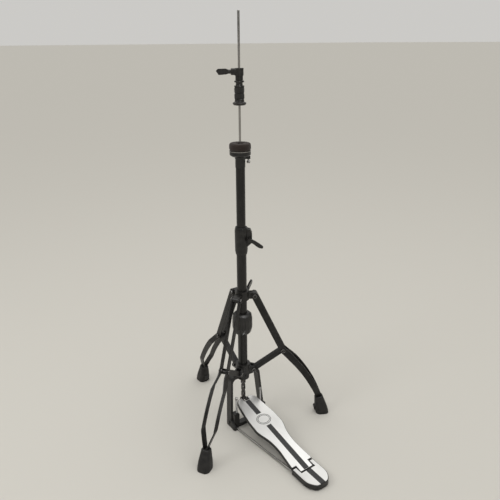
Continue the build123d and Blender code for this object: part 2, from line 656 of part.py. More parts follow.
# The floor beam ties the uprights under the toe, and its end blocks hold the spur screws.
with BuildPart() as floor_beam:
    with BuildSketch(level(1.5)):
        with Locations((0, SPUR_Y)):
            Rectangle(2 * (FRAME_FOOT_X - FRAME_T - 0.5), BEAM_DEPTH)
    extrude(amount=BEAM_TOP - 1.5)
    for sign in (1, -1):
        with BuildSketch(level(1.5)):
            with Locations((sign * (SPUR_X + 4.5), SPUR_Y)):
                Rectangle(18, BEAM_DEPTH)
        extrude(amount=BEAM_BLOCK_TOP - 1.5)
    fillet(floor_beam.edges().filter_by(Axis.Y).group_by(Axis.Z)[-1], 3)
    for sign in (1, -1):
        with BuildSketch(level(0)):
            with Locations((sign * SPUR_X, SPUR_Y)):
                Circle(SPUR_R + FIT)
        extrude(amount=60, mode=Mode.SUBTRACT)
    add(pedal_frame.part, mode=Mode.SUBTRACT)
floor_beam.part.label = "floor_beam"
export_step(floor_beam.part, "parts/floor_beam.step")

# Spur screws: pointed below, with a small knurled head on top to turn them by.
for name, sign in (("left", -1), ("right", 1)):
    with BuildPart() as spur:
        with BuildSketch(Plane.XZ.offset(-TUBE_Y - SPUR_Y)):
            with BuildLine():
                Polyline(
                    (sign * SPUR_X, SPUR_BOTTOM),
                    (sign * (SPUR_X + SPUR_R), SPUR_BOTTOM + 7),
                    (sign * (SPUR_X + SPUR_R), SPUR_TOP - 9),
                    (sign * (SPUR_X + 4), SPUR_TOP - 9),
                    (sign * (SPUR_X + 4), SPUR_TOP),
                    (sign * SPUR_X, SPUR_TOP),
                    close=True,
                )
            make_face()
        revolve(axis=Axis((sign * SPUR_X, TUBE_Y + SPUR_Y, 0), (0, 0, 1)))
    spur.part.label = f"spur_{name}"
    export_step(spur.part, f"parts/spur_{name}.step")

# Bolts that fix the beam to the uprights, and the yoke to the tube's end.
with BuildPart() as frame_bolts:
    for sign in (1, -1):
        with BuildSketch(Plane.YZ.offset(sign * (FRAME_FOOT_X - 0.2))):
            with Locations((TUBE_Y + LUG_FRONT + 6, 14), (TUBE_Y + LUG_BACK + 6, RADIUS_ROD_Z)):
                Circle(4.5)
        extrude(amount=sign * 3)
    with BuildSketch(facing(-90, YOKE_R - 1)):
        with Locations((0, FRAME_TOP - 6)):
            Circle(4.5)
    extrude(amount=4.5)
    add(pedal_frame.part, mode=Mode.SUBTRACT)
frame_bolts.part.label = "frame_bolts"
export_step(frame_bolts.part, "parts/frame_bolts.step")

# Two steel rods tie the frame's feet to the heel block.
with BuildPart() as radius_rods:
    with BuildLine():
        FilletPolyline(
            (RADIUS_ROD_X, TUBE_Y + LUG_BACK + 8.5, RADIUS_ROD_Z),
            (RADIUS_ROD_X, TUBE_Y + LUG_BACK - 8, RADIUS_ROD_Z),
            (RADIUS_ROD_HEEL_X, TUBE_Y + HEEL_FRONT + 9, RADIUS_ROD_Z),
            (RADIUS_ROD_HEEL_X, TUBE_Y + HEEL_FRONT - 14, RADIUS_ROD_Z),
            radius=8,
        )
    with BuildSketch(Plane.XZ.offset(-TUBE_Y - LUG_BACK - 8.5)):
        with Locations((RADIUS_ROD_X, RADIUS_ROD_Z)):
            Circle(RADIUS_ROD_R)
    sweep()
    mirror(about=Plane.YZ)
radius_rods.part.label = "radius_rods"
export_step(radius_rods.part, "parts/radius_rods.step")

# ------------------------------------------------------------ heel
def heel_outline(inset):
    """Half of the heel block's plan with its arms, inset all round, mirrored to the whole."""
    with BuildSketch(Plane((0, TUBE_Y, 0))) as plan:
        with BuildLine():
            edge = Polyline(
                (0, TONGUE_END - 1.5 - inset),
                (TONGUE_HALF + CLEAR + inset, TONGUE_END - 1.5 - inset),
                (TONGUE_HALF + CLEAR + inset, HEEL_FRONT - inset),
                (HEEL_HALF - inset, HEEL_FRONT - inset),
                (HEEL_HALF - inset, HEEL_BACK + 44),
            )
            nose = Spline(
                edge @ 1,
                (HEEL_HALF - 3.5 - inset * 0.9, HEEL_BACK + 22 + inset * 0.4),
                (HEEL_HALF - 15 - inset * 0.5, HEEL_BACK + 6 + inset * 0.8),
                (0, HEEL_BACK + inset),
                tangents=((0, -1), (-1, 0)),
            )
            Line(nose @ 1, edge @ 0)
        make_face()
        mirror(about=Plane.YZ)
    return plan.sketch


with BuildPart() as heel_block:
    extrude(heel_outline(0).moved(Location((0, 0, PAD_T))), amount=HEEL_H - PLATE_T - PAD_T)
    with BuildSketch(Plane((0, TUBE_Y, PAD_T))):
        with Locations((0, HINGE_Y - 3)):
            Rectangle(2 * HEEL_HALF - 4, 19)
    extrude(amount=1.5)
    cross_hole(Plane.YZ, HINGE, HINGE_PIN_R, 50)
    for sign in (1, -1):
        with BuildSketch(Plane.XZ.offset(-TUBE_Y - HEEL_FRONT + 15)):
            with Locations((sign * RADIUS_ROD_HEEL_X, RADIUS_ROD_Z)):
                Circle(RADIUS_ROD_R)
        extrude(amount=-20, mode=Mode.SUBTRACT)
heel_block.part.label = "heel_block"
export_step(heel_block.part, "parts/heel_block.step")

# A bright plate covers the heel block's top, and the stripe is inlaid in it.
with BuildPart() as heel_plate:
    extrude(heel_outline(2.2).moved(Location((0, 0, HEEL_H - PLATE_T))), amount=PLATE_T)
    with BuildSketch(Plane((0, TUBE_Y, HEEL_H - PLATE_T))):
        with Locations((0, HEEL_MIDDLE)):
            Rectangle(STRIPE_W, 80)
    extrude(amount=PLATE_T, mode=Mode.SUBTRACT)
heel_plate.part.label = "heel_plate"
export_step(heel_plate.part, "parts/heel_plate.step")

with BuildPart() as heel_stripe:
    with BuildSketch(Plane((0, TUBE_Y, HEEL_H - PLATE_T))):
        with Locations((0, HEEL_MIDDLE)):
            Rectangle(STRIPE_W, TONGUE_END - HEEL_BACK - 5.9)
    extrude(amount=STRIPE_T)
heel_stripe.part.label = "heel_stripe"
export_step(heel_stripe.part, "parts/heel_stripe.step")

# A rubber pad under the heel keeps it from sliding.
with BuildPart() as heel_pad:
    with BuildSketch(Plane((0, TUBE_Y, 0))):
        with Locations((0, HEEL_MIDDLE + 4)):
            RectangleRounded(2 * HEEL_HALF - 22, TONGUE_END - HEEL_BACK - 16, 14)
    extrude(amount=PAD_T)
heel_pad.part.label = "heel_pad"
export_step(heel_pad.part, "parts/heel_pad.step")

# The footboard turns on a pin through the heel block's arms.
with BuildPart() as hinge_pin:
    cross_hole(Plane.YZ, HINGE, HINGE_PIN_R, HEEL_HALF - 1, Mode.ADD)
hinge_pin.part.label = "hinge_pin"
export_step(hinge_pin.part, "parts/hinge_pin.step")

# ------------------------------------------------------------ footboard
# board is the plane of the footboard's top: X across, Y from above the hinge towards the toe.
slope = radians(BOARD_SLOPE)
board = Plane(
    (0, TUBE_Y + HINGE_Y, HEEL_H), x_dir=(1, 0, 0), z_dir=(0, -sin(slope), cos(slope))
)
TOE = (TOE_Y - HINGE_Y) / cos(slope)
FRONT = (HEEL_FRONT + 1.5 - HINGE_Y) / cos(slope)  # where the board widens ahead of the heel's arms
NOTCH_HALF, NOTCH_LENGTH = 9, 13


def board_outline(inset, depth):
    """The footboard's plan, inset all round, in the board's plane sunk by depth."""
    with BuildSketch(board.offset(-depth)) as plan:
        with BuildLine():
            heel = Polyline(
                (0, -9.5 + inset),
                (TONGUE_HALF - inset, -9.5 + inset),
                (TONGUE_HALF - inset, FRONT + inset),
                (HEEL_HALF - 1 - inset, FRONT + inset),
            )
            waist = Spline(
                heel @ 1,
                (31.5 - inset, 96),
                (38.5 - inset, 136),
                (47.5 - inset, 168),
                tangents=((-0.08, 1), (0.1, 1)),
            )
            flank = Spline(
                waist @ 1,
                (46 - inset, 215),
                (40 - inset, 258),
                (20 - inset * 0.4, TOE - inset),
                tangents=((0, 1), (-1, 0.25)),
            )
            Polyline(flank @ 1, (0, TOE - inset), heel @ 0)
        make_face()
        mirror(about=Plane.YZ)
        with Locations((0, TOE)):
            Rectangle(2 * (NOTCH_HALF + inset), 2 * (NOTCH_LENGTH + inset), mode=Mode.SUBTRACT)
    return plan.sketch


# The footboard is a casting, ribbed and hollow underneath, with a hinge barrel at its heel end.
RIB_HALF = 3.5
with BuildPart() as footboard:
    extrude(board_outline(0, PLATE_T), amount=-(BOARD_T - PLATE_T))
    with BuildSketch(board.offset(-BOARD_T)):
        with BuildLine():
            Polyline(
                (0, FRONT + 4), (30, FRONT + 5), (26, 95), (41, 165), (37, 240), (0, 268), close=True
            )
        make_face()
        mirror(about=Plane.YZ)
        Rectangle(2 * RIB_HALF, 2 * TOE, mode=Mode.SUBTRACT)
        for rib_y in (70, 130, 190):
            with Locations((0, rib_y)):
                Rectangle(120, 2 * RIB_HALF, mode=Mode.SUBTRACT)
    extrude(amount=BOARD_T - PLATE_T - 3, mode=Mode.SUBTRACT)
    cross_hole(Plane.YZ, HINGE, HINGE_PIN_R + 2.2, TONGUE_HALF, Mode.ADD)
    cross_hole(Plane.YZ, HINGE, HINGE_PIN_R + FIT, 60)
footboard.part.label = "footboard"
export_step(footboard.part, "parts/footboard.step")


def stripe_bed():
    """The plan of the footboard's middle stripe, in two runs either side of the badge."""
    with BuildSketch(board.offset(-PLATE_T)) as plan:
        for start, end in ((-7, 172), (222, TOE - NOTCH_LENGTH - 3)):
            with Locations((0, (start + end) / 2)):
                Rectangle(STRIPE_W, end - start)
    return plan.sketch


with BuildPart() as footboard_plate:
    extrude(board_outline(2, PLATE_T), amount=PLATE_T)
    extrude(stripe_bed(), amount=PLATE_T, mode=Mode.SUBTRACT)
footboard_plate.part.label = "footboard_plate"
export_step(footboard_plate.part, "parts/footboard_plate.step")

with BuildPart() as footboard_stripe:
    extrude(stripe_bed(), amount=STRIPE_T)
footboard_stripe.part.label = "footboard_stripe"
export_step(footboard_stripe.part, "parts/footboard_stripe.step")

# The toe bracket: a pad under the board, and two ears that the chain's last link stands between.
with BuildPart() as toe_bracket:
    for sign in (1, -1):
        with BuildSketch(side(-90).offset(sign * TOE_EAR_X)):
            with BuildLine():
                Polyline(
                    (-6.5, CHAIN_BOTTOM - 4),
                    (-5, CHAIN_BOTTOM - 6.5),
                    (20, CHAIN_BOTTOM - 10),
                    (34, CHAIN_BOTTOM - 9.5),
                    (34, CHAIN_BOTTOM - 7),
                    (19, CHAIN_BOTTOM - 4.4),
                    (9, CHAIN_BOTTOM + 5.5),
                    (-5, CHAIN_BOTTOM + 5.5),
                    (-6.5, CHAIN_BOTTOM + 4),
                    close=True,
                )
            make_face()
        extrude(amount=sign * TOE_EAR_T)
        with BuildSketch(side(-90).offset(sign * (TOE_EAR_X + TOE_EAR_T))):
            with Locations((0, CHAIN_BOTTOM)):
                RegularPolygon(4, 6)
        extrude(amount=sign * TOE_EAR_T)
    with BuildSketch(board.offset(-BOARD_T)):
        with Locations((0, TOE - 30)):
            Rectangle(30, 16)
    extrude(amount=-3)
    add(footboard.part, mode=Mode.SUBTRACT)
toe_bracket.part.label = "toe_bracket"
export_step(toe_bracket.part, "parts/toe_bracket.step")

# ------------------------------------------------------------ clutch
# The clutch body is a threaded stem under a collar and a split head, clamped on the pull rod.
with BuildPart() as clutch_body:
    ring(STEM_R, 0, STEM_BOTTOM, CLUTCH_HEAD_BOTTOM - 11)
    ring(9.8, 0, CLUTCH_HEAD_BOTTOM - 11.5, CLUTCH_HEAD_BOTTOM + 1)
    ring(11.5, 0, CLUTCH_HEAD_BOTTOM, CLUTCH_HEAD_TOP)
    with BuildSketch(facing(CLUTCH_ANGLE)):
        with Locations((0, CLUTCH_SCREW_Z)):
            RectangleRounded(17, 16, 3)
    extrude(amount=CLUTCH_BOSS_OUT)
    ring(ROD_R + FIT, 0, STEM_BOTTOM - 1, CLUTCH_HEAD_TOP + 1, Mode.SUBTRACT)
    with BuildSketch(facing(CLUTCH_ANGLE, ROD_R + 1)):
        with Locations((0, CLUTCH_SCREW_Z)):
            Circle(CLUTCH_SCREW_R + FIT)
    extrude(amount=30, mode=Mode.SUBTRACT)
clutch_body.part.label = "clutch_body"
export_step(clutch_body.part, "parts/clutch_body.step")

# Its wing screw has one flat paddle, wider towards the end.
with BuildPart() as clutch_wing:
    with BuildSketch(facing(CLUTCH_ANGLE, ROD_R + 1.5)):
        with Locations((0, CLUTCH_SCREW_Z)):
            Circle(CLUTCH_SCREW_R)
    extrude(amount=CLUTCH_BOSS_OUT)
    with BuildSketch(facing(CLUTCH_ANGLE, CLUTCH_BOSS_OUT + CLEAR)):
        with Locations((0, CLUTCH_SCREW_Z)):
            Circle(5.5)
    extrude(amount=7, taper=8)
    with BuildSketch(side(CLUTCH_ANGLE) * Pos(CLUTCH_BOSS_OUT, CLUTCH_SCREW_Z)) as paddle:
        with BuildLine():
            Polyline(
                (5, -4.5), (12, -6.5), (31, -8), (38, 2.5), (33, 7), (13, 7.5), (5, 4.5), close=True
            )
        make_face()
        fillet(paddle.vertices(), 2)
    extrude(amount=3.2, both=True)
clutch_wing.part.label = "clutch_wing"
export_step(clutch_wing.part, "parts/clutch_wing.step")

# Two lock nuts above the felts: a thin ribbed disc on a hexagon, and a flanged one.
with BuildPart() as clutch_nuts:
    ring(12.6, STEM_R, 1031.5, 1035.5)
    ring(9, STEM_R, 1028.5, 1031.5)
    ring(9.2, STEM_R, 1023.5, 1028)
    ring(13, STEM_R, 1019.6, 1023.5)
clutch_nuts.part.label = "clutch_nuts"
export_step(clutch_nuts.part, "parts/clutch_nuts.step")

# Two felts, between which the top cymbal hangs.
with BuildPart() as clutch_felts:
    for bottom in CLUTCH_FELTS:
        ring(CLUTCH_FELT_R, STEM_R, bottom, bottom + CLUTCH_FELT_H)
clutch_felts.part.label = "clutch_felts"
export_step(clutch_felts.part, "parts/clutch_felts.step")

# A flanged nut on the stem's end holds the cymbal up against the felts.
with BuildPart() as clutch_bottom:
    turned(
        [
            (STEM_R, STEM_BOTTOM - 3),
            (15, STEM_BOTTOM - 3),
            (17.5, STEM_BOTTOM),
            (17.5, STEM_BOTTOM + 3),
            (12.5, STEM_BOTTOM + 5.5),
            (12, CLUTCH_FELTS[0] - 0.2),
            (STEM_R, CLUTCH_FELTS[0] - 0.2),
        ]
    )
clutch_bottom.part.label = "clutch_bottom"
export_step(clutch_bottom.part, "parts/clutch_bottom.step")
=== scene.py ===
import json
from math import copysign, cos, radians, sin, tau

import bpy
from mathutils import Matrix, Vector

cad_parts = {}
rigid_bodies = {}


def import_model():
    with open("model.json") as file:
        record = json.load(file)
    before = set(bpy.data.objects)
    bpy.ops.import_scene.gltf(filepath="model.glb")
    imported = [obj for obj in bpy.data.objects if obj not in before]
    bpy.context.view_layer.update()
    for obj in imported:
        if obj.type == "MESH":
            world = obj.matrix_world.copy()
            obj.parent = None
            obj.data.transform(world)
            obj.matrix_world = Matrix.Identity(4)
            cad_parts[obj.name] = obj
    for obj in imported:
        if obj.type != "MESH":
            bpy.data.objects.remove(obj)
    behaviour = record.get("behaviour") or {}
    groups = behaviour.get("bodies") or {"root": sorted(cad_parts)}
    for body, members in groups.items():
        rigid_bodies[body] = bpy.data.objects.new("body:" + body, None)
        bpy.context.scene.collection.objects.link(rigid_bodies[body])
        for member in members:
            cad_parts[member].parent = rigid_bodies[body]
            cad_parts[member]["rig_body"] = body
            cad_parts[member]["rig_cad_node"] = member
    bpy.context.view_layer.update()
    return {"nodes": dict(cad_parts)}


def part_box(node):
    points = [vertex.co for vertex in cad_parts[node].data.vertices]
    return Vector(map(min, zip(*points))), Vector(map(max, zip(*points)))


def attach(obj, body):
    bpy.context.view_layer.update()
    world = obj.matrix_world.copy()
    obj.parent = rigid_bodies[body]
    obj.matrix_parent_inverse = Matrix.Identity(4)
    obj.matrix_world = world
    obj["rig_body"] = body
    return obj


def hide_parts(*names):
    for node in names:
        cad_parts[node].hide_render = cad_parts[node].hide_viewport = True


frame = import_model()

# A double-braced hi-hat stand, in metres, put together from its tubes outwards to the legs, the
# pedal, the tilting seat and the clutch. Up is +Z and the pedal's heel points to -Y.


# ------------------------------------------------------------ the two tubes
# Seamless steel tubes, one sliding in the other. They are lacquered black over a polished
# surface, so they carry long soft highlights, with a faint ripple and a little dust.
def new_finish(name, colour, roughness, metallic=0.0, coat=0.0, shine=0.5):
    """A finish whose constants sit on the shader's own sockets. Patterns are added to it after."""
    made = bpy.data.materials.new(name)
    made.use_nodes = True
    shader = made.node_tree.nodes["Principled BSDF"]
    shader.inputs["Base Color"].default_value = (*colour, 1)
    shader.inputs["Roughness"].default_value = roughness
    shader.inputs["Metallic"].default_value = metallic
    shader.inputs["Coat Weight"].default_value = coat
    shader.inputs["Coat Roughness"].default_value = 0.12
    shader.inputs["Specular IOR Level"].default_value = shine
    return made


def pattern(finish, per_metre, stretch=(1, 1, 1), detail=3.0):
    """A noise pattern on Object coordinates, so many grains to the metre, drawn out by stretch."""
    nodes, links = finish.node_tree.nodes, finish.node_tree.links
    place = nodes.new("ShaderNodeTexCoord")
    mapping = nodes.new("ShaderNodeMapping")
    mapping.inputs["Scale"].default_value = [per_metre / s for s in stretch]
    noise = nodes.new("ShaderNodeTexNoise")
    noise.inputs["Scale"].default_value = 1.0
    noise.inputs["Detail"].default_value = detail
    links.new(place.outputs["Object"], mapping.inputs["Vector"])
    links.new(mapping.outputs["Vector"], noise.inputs["Vector"])
    return noise.outputs["Fac"]


def colour_from(finish, source, dark, light, start=0.35, end=0.65):
    """Colours the finish from dark to light where the pattern runs from start to end."""
    nodes, links = finish.node_tree.nodes, finish.node_tree.links
    ramp = nodes.new("ShaderNodeValToRGB")
    ramp.color_ramp.elements[0].position = start
    ramp.color_ramp.elements[1].position = end
    ramp.color_ramp.elements[0].color = (*dark, 1)
    ramp.color_ramp.elements[1].color = (*light, 1)
    links.new(source, ramp.inputs["Fac"])
    links.new(ramp.outputs["Color"], nodes["Principled BSDF"].inputs["Base Color"])


def roughness_from(finish, source, smooth, rough, start=0.3, end=0.7):
    """Makes the finish smooth to rough where the pattern runs from start to end."""
    nodes, links = finish.node_tree.nodes, finish.node_tree.links
    span = nodes.new("ShaderNodeMapRange")
    span.inputs["From Min"].default_value = start
    span.inputs["From Max"].default_value = end
    span.inputs["To Min"].default_value = smooth
    span.inputs["To Max"].default_value = rough
    links.new(source, span.inputs["Value"])
    links.new(span.outputs["Result"], nodes["Principled BSDF"].inputs["Roughness"])


def relief_from(finish, source, depth, strength=0.5):
    """Raises the surface by the pattern, depth being its height in metres."""
    nodes, links = finish.node_tree.nodes, finish.node_tree.links
    shader = nodes["Principled BSDF"]
    bump = nodes.new("ShaderNodeBump")
    bump.inputs["Strength"].default_value = strength
    bump.inputs["Distance"].default_value = depth
    links.new(source, bump.inputs["Height"])
    if shader.inputs["Normal"].is_linked:
        links.new(shader.inputs["Normal"].links[0].from_socket, bump.inputs["Normal"])
    links.new(bump.outputs["Normal"], shader.inputs["Normal"])


def give(finish, *nodes):
    """Gives the finish to the frame's own parts of these names."""
    for node in nodes:
        part = frame["nodes"][node]
        part.data.materials.clear()
        part.data.materials.append(finish)


def only(piece):
    """Selects this piece alone and makes it the active one."""
    bpy.ops.object.select_all(action="DESELECT")
    piece.select_set(True)
    bpy.context.view_layer.objects.active = piece


WELD, BEVEL_STEPS = 0.00001, 2


def eased(node, radius, finish, edge_wear_and_highlight=None, smooth=38):
    """A copy of a part with its sharp edges rounded over, which stands for the part.

    The rounded edges take the second finish: wear where hands and cases have rubbed the part,
    and on the castings a painted highlight too. An edge is sharp if its faces turn by more than
    smooth degrees.
    """
    part = frame["nodes"][node]
    piece = part.copy()
    piece.data = part.data.copy()
    piece.name = node + "_eased"
    piece.data.name = piece.name
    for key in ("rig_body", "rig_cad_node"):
        del piece[key]
    piece.parent = None
    bpy.context.scene.collection.objects.link(piece)
    piece.data.materials.clear()
    piece.data.materials.append(finish)
    piece.data.materials.append(edge_wear_and_highlight or finish)
    only(piece)
    bpy.ops.mesh.customdata_custom_splitnormals_clear()
    bpy.ops.object.mode_set(mode="EDIT")
    bpy.ops.mesh.select_all(action="SELECT")
    bpy.ops.mesh.remove_doubles(threshold=WELD)
    bpy.ops.mesh.dissolve_limited(angle_limit=radians(1))
    bpy.ops.mesh.vert_connect_concave()
    bpy.ops.object.mode_set(mode="OBJECT")
    bevel = piece.modifiers.new("round the edges", "BEVEL")
    bevel.limit_method = "ANGLE"
    bevel.angle_limit = radians(smooth)
    bevel.width = radius
    bevel.segments = BEVEL_STEPS
    bevel.material = 1
    bpy.ops.object.modifier_apply(modifier=bevel.name)
    bpy.ops.object.shade_smooth_by_angle(angle=radians(smooth))
    weighted = piece.modifiers.new("keep flat faces flat", "WEIGHTED_NORMAL")
    weighted.keep_sharp = True
    bpy.ops.object.modifier_apply(modifier=weighted.name)
    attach(piece, part["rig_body"])
    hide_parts(node)
    return piece


AXIS_Y = sum(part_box("base_tube")[i].y for i in (0, 1)) / 2

black_lacquer = new_finish("black_lacquer", (0.010, 0.009, 0.009), 0.3, coat=0.15, shine=0.3)
dust = pattern(black_lacquer, 60, stretch=(1, 1, 3))
colour_from(black_lacquer, dust, (0.007, 0.0065, 0.006), (0.016, 0.0145, 0.013), 0.45, 0.8)
roughness_from(black_lacquer, pattern(black_lacquer, 350), 0.24, 0.38)
relief_from(black_lacquer, pattern(black_lacquer, 700), 0.00002)
give(black_lacquer, "base_tube", "upper_tube")

# ------------------------------------------------------------ nylon bushes
# Turned nylon, black, that guides the upper tube, the pull rod and the knob. Its fine turning
# rings show as a soft sheen.
black_nylon = new_finish("black_nylon", (0.014, 0.014, 0.014), 0.5, shine=0.35)
relief_from(black_nylon, pattern(black_nylon, 900, stretch=(6, 6, 1)), 0.00003)
roughness_from(black_nylon, pattern(black_nylon, 200), 0.42, 0.6)
give(black_nylon, "rod_bush", "guide_bush")
eased("clamp_bush", 0.0004, black_nylon)
eased("knob_sleeve", 0.0006, black_nylon)

# ------------------------------------------------------------ height clamp
# A split casting drawn together by a bolt with a long wing lever. Castings are tumbled and
# then painted: a fine grain, and lighter edges, partly rubbed and partly a painted highlight.
cast_black = new_finish("cast_black", (0.012, 0.0115, 0.011), 0.34, shine=0.4)
colour_from(cast_black, pattern(cast_black, 90), (0.008, 0.0075, 0.007), (0.018, 0.017, 0.0155))
roughness_from(cast_black, pattern(cast_black, 260), 0.26, 0.42)
relief_from(cast_black, pattern(cast_black, 1400, detail=2.0), 0.00006)

# The castings' rounded edges get this lighter finish: partly rubbed paint, partly a painted
# highlight that stands in for glints along the edges.
wear_and_painted_highlight = new_finish("wear_and_painted_highlight", (0.03, 0.029, 0.027), 0.26, metallic=0.4, shine=0.5)
wear_and_highlight_mask = pattern(wear_and_painted_highlight, 220, detail=6.0)
colour_from(wear_and_painted_highlight, wear_and_highlight_mask, (0.014, 0.013, 0.0125), (0.11, 0.105, 0.10), 0.42, 0.7)
roughness_from(wear_and_painted_highlight, wear_and_highlight_mask, 0.34, 0.2)
relief_from(wear_and_painted_highlight, pattern(wear_and_painted_highlight, 1400, detail=2.0), 0.00004)

eased("height_clamp", 0.0011, cast_black, wear_and_painted_highlight)
eased("height_wing", 0.0016, cast_black, wear_and_painted_highlight)

# ------------------------------------------------------------ tension knob
# A moulded plastic grip with a domed top and deep flutes, its surface spark-eroded to a fine
# matt. The crests of the flutes are polished by hands.
knob_plastic = new_finish("knob_plastic", (0.012, 0.0115, 0.011), 0.35, shine=0.5)
colour_from(knob_plastic, pattern(knob_plastic, 45), (0.008, 0.0075, 0.0075), (0.017, 0.016, 0.015))
relief_from(knob_plastic, pattern(knob_plastic, 1800, detail=2.0), 0.00005)
roughness_from(knob_plastic, pattern(knob_plastic, 120), 0.28, 0.42)
knob_crest = new_finish("knob_crest", (0.022, 0.021, 0.020), 0.2, coat=0.4, shine=0.7)
relief_from(knob_crest, pattern(knob_crest, 1200, detail=2.0), 0.00002)
roughness_from(knob_crest, pattern(knob_crest, 160), 0.14, 0.28)
eased("tension_knob", 0.0007, knob_plastic, knob_crest, smooth=30)

# ------------------------------------------------------------ pull rod, spring and chain
# The bright rod is centreless ground. Its lower end carries a coupler over the return spring,
# then a brass lock nut, a forked clevis and a short roller chain, blackened and oiled.
ground_steel = new_finish("ground_steel", (0.38, 0.37, 0.355), 0.24, metallic=1.0)
relief_from(ground_steel, pattern(ground_steel, 900, stretch=(8, 8, 1)), 0.000003, 0.2)
roughness_from(ground_steel, pattern(ground_steel, 30, stretch=(1, 1, 4)), 0.2, 0.28)
smears = pattern(ground_steel, 25, stretch=(1, 1, 6))
colour_from(ground_steel, smears, (0.32, 0.31, 0.30), (0.44, 0.43, 0.415))
give(ground_steel, "upper_rod", "lower_rod", "hinge_pin")

zinc = new_finish("zinc", (0.34, 0.33, 0.32), 0.36, metallic=1.0)
colour_from(zinc, pattern(zinc, 240), (0.24, 0.235, 0.23), (0.42, 0.41, 0.40))
roughness_from(zinc, pattern(zinc, 500), 0.28, 0.46)
relief_from(zinc, pattern(zinc, 1600), 0.00003)
give(zinc, "rod_coupler", "return_spring", "spring_cage")

brass = new_finish("brass", (0.60, 0.46, 0.30), 0.34, metallic=1.0)
colour_from(brass, pattern(brass, 320), (0.46, 0.33, 0.20), (0.70, 0.56, 0.38))
roughness_from(brass, pattern(brass, 600), 0.26, 0.44)
relief_from(brass, pattern(brass, 1500, stretch=(5, 5, 1)), 0.00003)
eased("rod_nut", 0.0004, brass)

chain_steel = new_finish("chain_steel", (0.10, 0.095, 0.09), 0.4, metallic=0.9)
oil = pattern(chain_steel, 420, detail=5.0)
colour_from(chain_steel, oil, (0.035, 0.032, 0.03), (0.22, 0.21, 0.20), 0.4, 0.72)
roughness_from(chain_steel, oil, 0.28, 0.5)
relief_from(chain_steel, pattern(chain_steel, 1500), 0.00003)
eased("chain_clevis", 0.0004, chain_steel)
eased("drive_chain", 0.0002, chain_steel)

# ------------------------------------------------------------ hubs
# Two castings on the base tube: the lower one holds the braces on pins, the upper one slides
# and is held by a wing screw. The bolts are blackened, and shine where a spanner has been.
blackened = new_finish("blackened", (0.05, 0.048, 0.046), 0.38, metallic=0.9)
colour_from(blackened, pattern(blackened, 260), (0.02, 0.019, 0.018), (0.075, 0.072, 0.07))
roughness_from(blackened, pattern(blackened, 500), 0.3, 0.46)
eased("lower_hub", 0.0009, cast_black, wear_and_painted_highlight)
eased("top_hub", 0.0010, cast_black, wear_and_painted_highlight)
eased("hub_wing", 0.0012, cast_black, wear_and_painted_highlight)
eased("hub_pins", 0.0006, blackened, zinc)

# ------------------------------------------------------------ legs and braces
# Each leg is two flat steel bars, bowed apart below the knee, and each brace a folded channel.
# They are powder coated: an orange-peel surface, thin and worn along the sheared edges.
powder_coat = new_finish("powder_coat", (0.010, 0.0095, 0.009), 0.36, shine=0.3)
colour_from(powder_coat, pattern(powder_coat, 50), (0.007, 0.0065, 0.006), (0.015, 0.014, 0.013))
roughness_from(powder_coat, pattern(powder_coat, 180), 0.30, 0.44)
relief_from(powder_coat, pattern(powder_coat, 900, detail=2.0), 0.00005)
worn_coat = new_finish("worn_coat", (0.03, 0.029, 0.027), 0.36, metallic=0.3, shine=0.35)
chips = pattern(worn_coat, 160, detail=8.0)
colour_from(worn_coat, chips, (0.011, 0.0105, 0.010), (0.065, 0.062, 0.058), 0.48, 0.7)
relief_from(worn_coat, chips, 0.00008)
for side in ("right", "back", "left"):
    eased(f"brace_{side}", 0.0005, powder_coat, worn_coat)
    eased(f"leg_bars_{side}", 0.0006, powder_coat, worn_coat)
    eased(f"leg_bolts_{side}", 0.0006, blackened, zinc)

# ------------------------------------------------------------ rubber boots
# Moulded rubber boots on the ends of the bars, matt and a little dusty, with rounded edges.
boot_rubber = new_finish("boot_rubber", (0.010, 0.0095, 0.009), 0.5, shine=0.35)
colour_from(boot_rubber, pattern(boot_rubber, 70), (0.006, 0.0055, 0.0055), (0.018, 0.017, 0.016))
roughness_from(boot_rubber, pattern(boot_rubber, 150), 0.40, 0.62)
relief_from(boot_rubber, pattern(boot_rubber, 1100, detail=3.0), 0.00009)
for side in ("right", "back", "left"):
    eased(f"leg_foot_{side}", 0.0015, boot_rubber, smooth=32)
give(boot_rubber, "heel_pad")

# ------------------------------------------------------------ pedal frame
# One heavy casting that straddles the pedal, a beam across its feet, two spur screws with
# knurled heads, and two steel rods back to the heel.
eased("pedal_frame", 0.0014, cast_black, wear_and_painted_highlight)
eased("floor_beam", 0.0010, cast_black, wear_and_painted_highlight)
eased("frame_bolts", 0.0006, blackened, zinc)
give(ground_steel, "radius_rods")


def turned(name, x, y, profile, sides):
    """A shape turned about the upright line through (x, y), from its (radius, height) profile.

    It is left in edit mode, with its last ring selected.
    """
    bpy.ops.object.select_all(action="DESELECT")
    bpy.ops.mesh.primitive_circle_add(vertices=sides, radius=profile[0][0])
    piece = bpy.context.active_object
    piece.name = piece.data.name = name
    bpy.ops.object.mode_set(mode="EDIT")
    bpy.ops.transform.translate(value=(x, y, profile[0][1]))
    for (radius, height), (next_radius, next_height) in zip(profile, profile[1:]):
        bpy.ops.mesh.extrude_region_move(
            TRANSFORM_OT_translate={"value": (0, 0, next_height - height)}
        )
        growth = next_radius / radius
        bpy.ops.transform.resize(value=(growth, growth, 1), center_override=(x, y, next_height))
    return piece


def close_ends(piece, finish):
    """Caps both ends of a turned shape and faces it outwards, then gives it its finish."""
    bpy.ops.mesh.select_all(action="DESELECT")
    bpy.ops.mesh.select_non_manifold()
    bpy.ops.mesh.fill_holes(sides=0)
    bpy.ops.mesh.select_all(action="SELECT")
    bpy.ops.mesh.normals_make_consistent(inside=False)
    bpy.ops.object.mode_set(mode="OBJECT")
    bpy.ops.object.transform_apply(location=True, rotation=True, scale=True)
    piece.data.materials.clear()
    piece.data.materials.append(finish)


